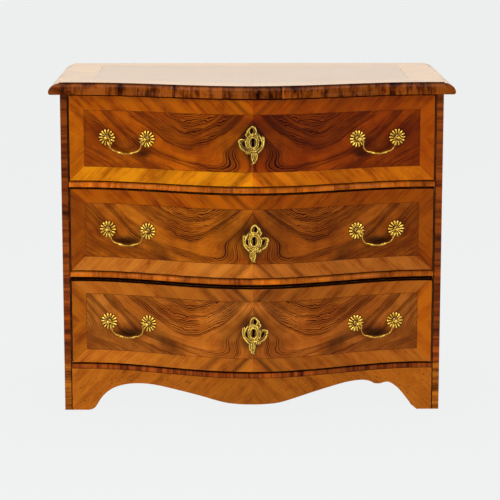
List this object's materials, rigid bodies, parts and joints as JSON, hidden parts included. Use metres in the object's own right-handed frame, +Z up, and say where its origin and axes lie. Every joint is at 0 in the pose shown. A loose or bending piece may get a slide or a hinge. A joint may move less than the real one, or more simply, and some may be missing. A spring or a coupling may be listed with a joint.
{
  "type": "commode chest",
  "caption": "Serpentine-fronted walnut commode with stacked lockable drawers, brass bail handles, a moulded top and a scalloped apron on bracket feet.",
  "frame": {"origin": "on the floor, under the middle of the chest's outer box", "axes": "+X along the front to the viewer's right, +Y to the back, +Z up; the drawers open to -Y"},
  "size_m": [1.016, 0.623, 0.846],
  "materials": {
    "figured_walnut": "polished",
    "golden_walnut": "polished",
    "cross_walnut": "polished",
    "pine": "bare",
    "brass": "polished",
    "iron": "forged"
  },
  "bodies": {
    "case": {"side_panel_left": "golden_walnut", "side_panel_right": "golden_walnut", "bottom_board": "pine", "divider_board_lower": "pine", "divider_board_upper": "pine", "back_panel": "pine", "top_board": "figured_walnut", "top_moulding_front": "cross_walnut", "top_moulding_left": "cross_walnut", "top_moulding_right": "cross_walnut", "bead_lower": "cross_walnut", "bead_upper": "cross_walnut", "base_band": "cross_walnut", "apron": "golden_walnut", "foot_block_front_left": "pine", "foot_block_front_right": "pine", "foot_block_back_left": "pine", "foot_block_back_right": "pine"},
    "bottom_drawer": {"bottom_drawer_front": "figured_walnut", "bottom_drawer_side_left": "pine", "bottom_drawer_side_right": "pine", "bottom_drawer_back": "pine", "bottom_drawer_bottom": "pine", "bottom_drawer_lock_case": "iron", "bottom_drawer_escutcheon": "brass", "bottom_drawer_left_rosette_outer": "brass", "bottom_drawer_left_rosette_inner": "brass", "bottom_drawer_right_rosette_outer": "brass", "bottom_drawer_right_rosette_inner": "brass"},
    "bottom_drawer_lock_bolt": {"bottom_drawer_lock_bolt": "iron"},
    "bottom_drawer_left_bail": {"bottom_drawer_left_bail": "brass"},
    "bottom_drawer_right_bail": {"bottom_drawer_right_bail": "brass"},
    "middle_drawer": {"middle_drawer_front": "figured_walnut", "middle_drawer_side_left": "pine", "middle_drawer_side_right": "pine", "middle_drawer_back": "pine", "middle_drawer_bottom": "pine", "middle_drawer_lock_case": "iron", "middle_drawer_escutcheon": "brass", "middle_drawer_left_rosette_outer": "brass", "middle_drawer_left_rosette_inner": "brass", "middle_drawer_right_rosette_outer": "brass", "middle_drawer_right_rosette_inner": "brass"},
    "middle_drawer_lock_bolt": {"middle_drawer_lock_bolt": "iron"},
    "middle_drawer_left_bail": {"middle_drawer_left_bail": "brass"},
    "middle_drawer_right_bail": {"middle_drawer_right_bail": "brass"},
    "top_drawer": {"top_drawer_front": "figured_walnut", "top_drawer_side_left": "pine", "top_drawer_side_right": "pine", "top_drawer_back": "pine", "top_drawer_bottom": "pine", "top_drawer_lock_case": "iron", "top_drawer_escutcheon": "brass", "top_drawer_left_rosette_outer": "brass", "top_drawer_left_rosette_inner": "brass", "top_drawer_right_rosette_outer": "brass", "top_drawer_right_rosette_inner": "brass"},
    "top_drawer_lock_bolt": {"top_drawer_lock_bolt": "iron"},
    "top_drawer_left_bail": {"top_drawer_left_bail": "brass"},
    "top_drawer_right_bail": {"top_drawer_right_bail": "brass"}
  },
  "joints": [
    {"name": "bottom_drawer_slide", "type": "slide", "parent": "case", "child": "bottom_drawer", "axis": [0, -1, 0], "range_m": [0, 0.38]},
    {"name": "bottom_drawer_bolt_throw", "type": "slide", "parent": "bottom_drawer", "child": "bottom_drawer_lock_bolt", "axis": [0, 0, 1], "range_m": [0, 0.012]},
    {"name": "bottom_drawer_left_bail_swing", "type": "hinge", "parent": "bottom_drawer", "child": "bottom_drawer_left_bail", "pos_m": [-0.31655, -0.22845, 0.23775], "axis": [-0.9602, 0.2792, 0], "range_deg": [-22, 202]},
    {"name": "bottom_drawer_right_bail_swing", "type": "hinge", "parent": "bottom_drawer", "child": "bottom_drawer_right_bail", "pos_m": [0.31655, -0.22845, 0.23775], "axis": [-0.9602, -0.2792, 0], "range_deg": [-22, 202]},
    {"name": "middle_drawer_slide", "type": "slide", "parent": "case", "child": "middle_drawer", "axis": [0, -1, 0], "range_m": [0, 0.38]},
    {"name": "middle_drawer_bolt_throw", "type": "slide", "parent": "middle_drawer", "child": "middle_drawer_lock_bolt", "axis": [0, 0, 1], "range_m": [0, 0.012]},
    {"name": "middle_drawer_left_bail_swing", "type": "hinge", "parent": "middle_drawer", "child": "middle_drawer_left_bail", "pos_m": [-0.31655, -0.22845, 0.47575], "axis": [-0.9602, 0.2792, 0], "range_deg": [-22, 202]},
    {"name": "middle_drawer_right_bail_swing", "type": "hinge", "parent": "middle_drawer", "child": "middle_drawer_right_bail", "pos_m": [0.31655, -0.22845, 0.47575], "axis": [-0.9602, -0.2792, 0], "range_deg": [-22, 202]},
    {"name": "top_drawer_slide", "type": "slide", "parent": "case", "child": "top_drawer", "axis": [0, -1, 0], "range_m": [0, 0.38]},
    {"name": "top_drawer_bolt_throw", "type": "slide", "parent": "top_drawer", "child": "top_drawer_lock_bolt", "axis": [0, 0, 1], "range_m": [0, 0.012]},
    {"name": "top_drawer_left_bail_swing", "type": "hinge", "parent": "top_drawer", "child": "top_drawer_left_bail", "pos_m": [-0.31655, -0.22845, 0.70925], "axis": [-0.9602, 0.2792, 0], "range_deg": [-22, 202]},
    {"name": "top_drawer_right_bail_swing", "type": "hinge", "parent": "top_drawer", "child": "top_drawer_right_bail", "pos_m": [0.31655, -0.22845, 0.70925], "axis": [-0.9602, -0.2792, 0], "range_deg": [-22, 202]}
  ]
}
